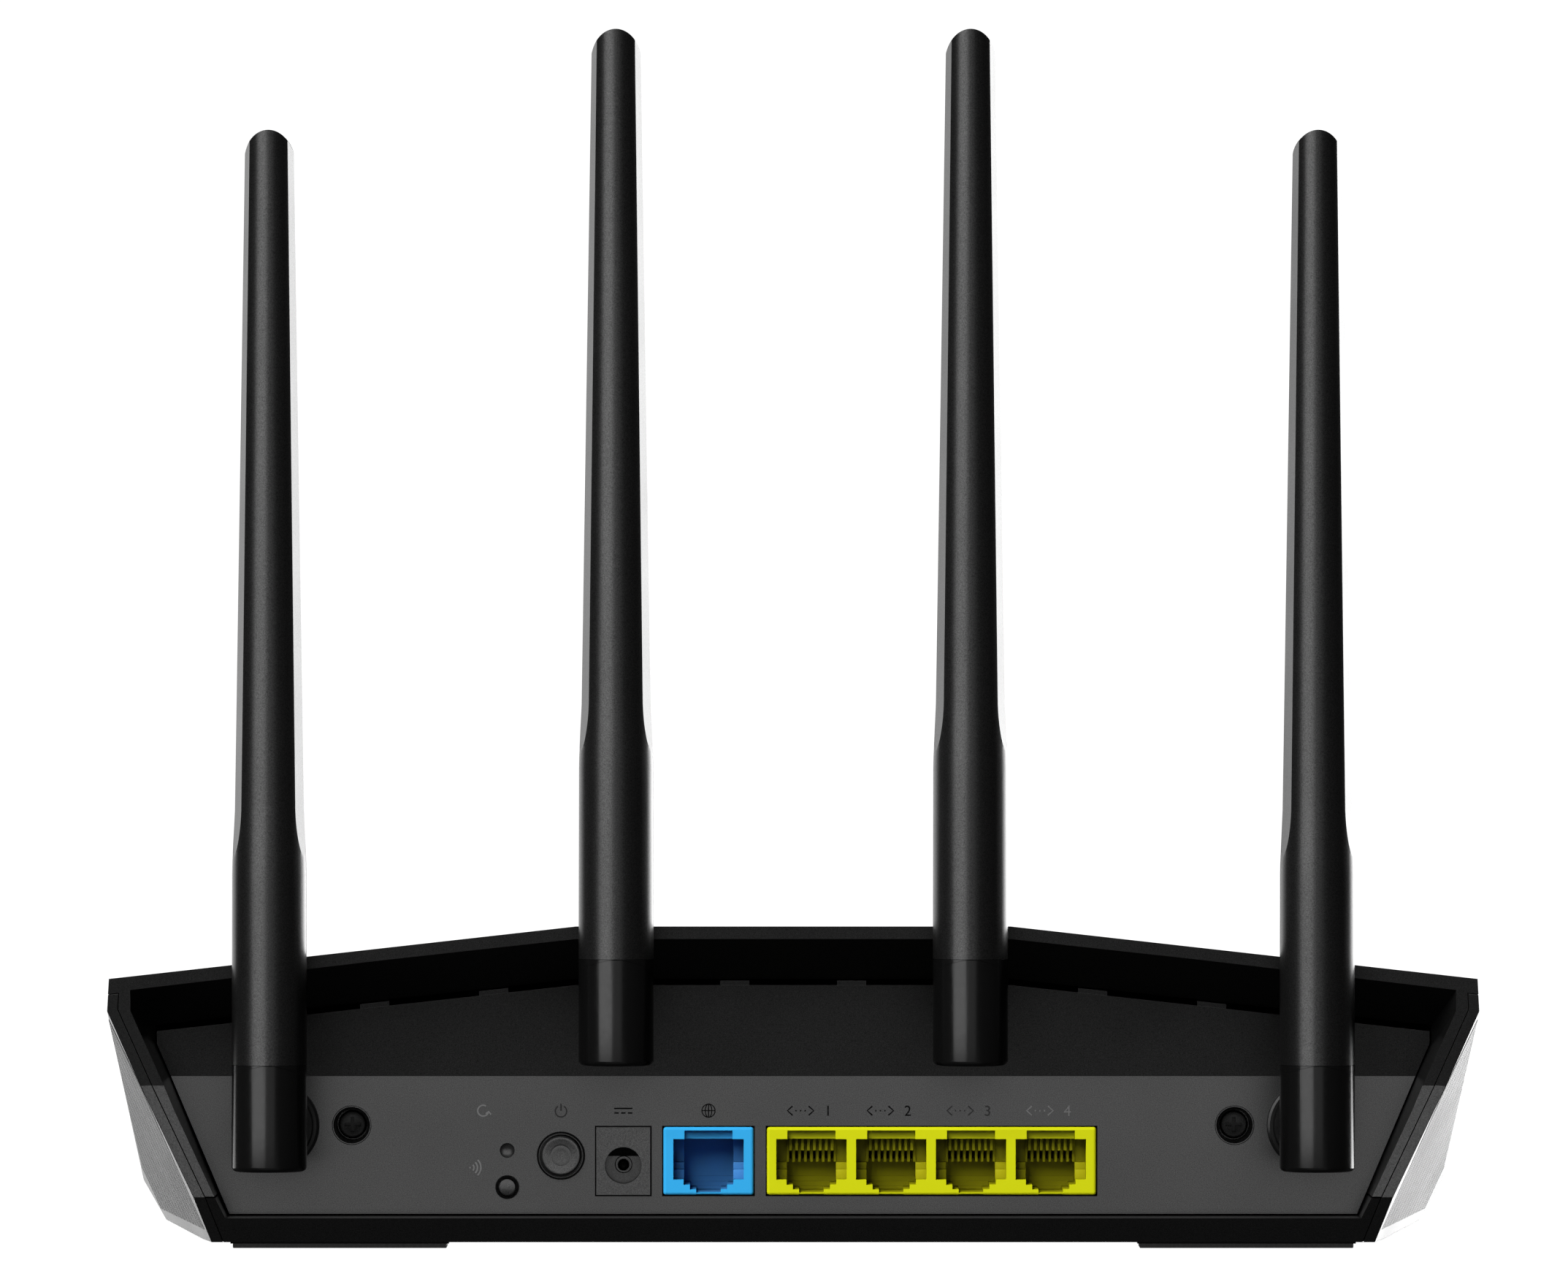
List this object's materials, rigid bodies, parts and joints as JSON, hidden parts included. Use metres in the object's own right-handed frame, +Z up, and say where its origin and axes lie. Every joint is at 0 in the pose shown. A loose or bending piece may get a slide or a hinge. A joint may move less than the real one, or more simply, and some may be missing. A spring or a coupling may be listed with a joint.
{
  "type": "wireless router",
  "caption": "Desktop wireless router with a faceted black casing, recessed rear sockets under a hood, push buttons and folding, swivelling antennas.",
  "frame": {"origin": "centre of the bounding box on the table plane, under the feet", "axes": "+X right as seen from the rear, +Y from the rear sockets to the front, +Z up"},
  "size_m": [0.2384, 0.147, 0.2119],
  "materials": {
    "casing": "fine matte grain",
    "casing_textured": "fine diagonal relief, satin",
    "rear_panel": "fine matte grain",
    "antenna_grained": "spark-eroded grain",
    "knuckle_gloss": "polished",
    "foot_rubber": "matte",
    "socket_yellow": "satin",
    "socket_blue": "satin",
    "jack_black": "satin",
    "button": "satin",
    "steel": "machined",
    "brass": "bright",
    "board": "solder resist",
    "aluminium": "brushed",
    "component": "moulded",
    "lead_sleeve": "smooth sleeve",
    "window": "clear diffuser"
  },
  "bodies": {
    "housing": {"antenna_inner_left_lead": "lead_sleeve", "antenna_inner_right_lead": "lead_sleeve", "antenna_outer_left_lead": "lead_sleeve", "antenna_outer_right_lead": "lead_sleeve", "base_tray": "casing", "board_screw_front_left": "steel", "board_screw_front_right": "steel", "board_screw_rear_left": "steel", "board_screw_rear_right": "steel", "capacitor_filter": "component", "capacitor_main": "component", "case_screw_left": "steel", "case_screw_right": "steel", "dc_jack": "jack_black", "dc_jack_pin": "steel", "foot_front_left": "foot_rubber", "foot_front_right": "foot_rubber", "foot_rear_left": "foot_rubber", "foot_rear_right": "foot_rubber", "heat_sink": "aluminium", "lan_socket_block": "socket_yellow", "lan_transformer": "component", "led_window": "window", "main_board": "board", "power_switch": "component", "processor_shield": "aluminium", "radio_shield": "aluminium", "rear_panel": "rear_panel", "reset_switch": "component", "side_panel_left": "casing_textured", "side_panel_right": "casing_textured", "top_cover": "casing", "wan_socket": "socket_blue", "wan_transformer": "component", "wps_switch": "component"},
    "antenna_outer_left_base": {"antenna_outer_left_knuckle": "knuckle_gloss", "antenna_outer_left_clip": "steel"},
    "antenna_outer_left_arm": {"antenna_outer_left_blade": "antenna_grained", "antenna_outer_left_radiator": "brass", "antenna_outer_left_pin": "steel"},
    "antenna_inner_left_base": {"antenna_inner_left_knuckle": "knuckle_gloss", "antenna_inner_left_clip": "steel"},
    "antenna_inner_left_arm": {"antenna_inner_left_blade": "antenna_grained", "antenna_inner_left_radiator": "brass", "antenna_inner_left_pin": "steel"},
    "antenna_inner_right_base": {"antenna_inner_right_knuckle": "knuckle_gloss", "antenna_inner_right_clip": "steel"},
    "antenna_inner_right_arm": {"antenna_inner_right_blade": "antenna_grained", "antenna_inner_right_radiator": "brass", "antenna_inner_right_pin": "steel"},
    "antenna_outer_right_base": {"antenna_outer_right_knuckle": "knuckle_gloss", "antenna_outer_right_clip": "steel"},
    "antenna_outer_right_arm": {"antenna_outer_right_blade": "antenna_grained", "antenna_outer_right_radiator": "brass", "antenna_outer_right_pin": "steel"},
    "power_button": {"power_button": "button"},
    "wps_button": {"wps_button": "button"},
    "reset_button": {"reset_button": "button"}
  },
  "joints": [
    {"name": "antenna_outer_left_swivel", "type": "hinge", "parent": "housing", "child": "antenna_outer_left_base", "pos_m": [-0.0905, -0.04535, 0.0217], "axis": [0, 1, 0], "range_deg": [-90, 15]},
    {"name": "antenna_outer_left_fold", "type": "hinge", "parent": "antenna_outer_left_base", "child": "antenna_outer_left_arm", "pos_m": [-0.0905, -0.0707, 0.036], "axis": [1, 0, 0], "range_deg": [0, 90]},
    {"name": "antenna_inner_left_swivel", "type": "hinge", "parent": "housing", "child": "antenna_inner_left_base", "pos_m": [-0.0306, -0.04535, 0.04], "axis": [0, 1, 0], "range_deg": [-15, 15]},
    {"name": "antenna_inner_left_fold", "type": "hinge", "parent": "antenna_inner_left_base", "child": "antenna_inner_left_arm", "pos_m": [-0.0306, -0.0707, 0.0543], "axis": [1, 0, 0], "range_deg": [0, 90]},
    {"name": "antenna_inner_right_swivel", "type": "hinge", "parent": "housing", "child": "antenna_inner_right_base", "pos_m": [0.0306, -0.04535, 0.04], "axis": [0, 1, 0], "range_deg": [-15, 15]},
    {"name": "antenna_inner_right_fold", "type": "hinge", "parent": "antenna_inner_right_base", "child": "antenna_inner_right_arm", "pos_m": [0.0306, -0.0707, 0.0543], "axis": [1, 0, 0], "range_deg": [0, 90]},
    {"name": "antenna_outer_right_swivel", "type": "hinge", "parent": "housing", "child": "antenna_outer_right_base", "pos_m": [0.0905, -0.04535, 0.0217], "axis": [0, 1, 0], "range_deg": [-15, 90]},
    {"name": "antenna_outer_right_fold", "type": "hinge", "parent": "antenna_outer_right_base", "child": "antenna_outer_right_arm", "pos_m": [0.0905, -0.0707, 0.036], "axis": [1, 0, 0], "range_deg": [0, 90]},
    {"name": "power_button_push", "type": "slide", "parent": "housing", "child": "power_button", "axis": [0, 1, 0], "range_m": [0, 0.0015], "stiffness_N_per_m": 900},
    {"name": "wps_button_push", "type": "slide", "parent": "housing", "child": "wps_button", "axis": [0, 1, 0], "range_m": [0, 0.0006], "stiffness_N_per_m": 1200},
    {"name": "reset_button_push", "type": "slide", "parent": "housing", "child": "reset_button", "axis": [0, 1, 0], "range_m": [0, 0.0004], "stiffness_N_per_m": 1500}
  ]
}
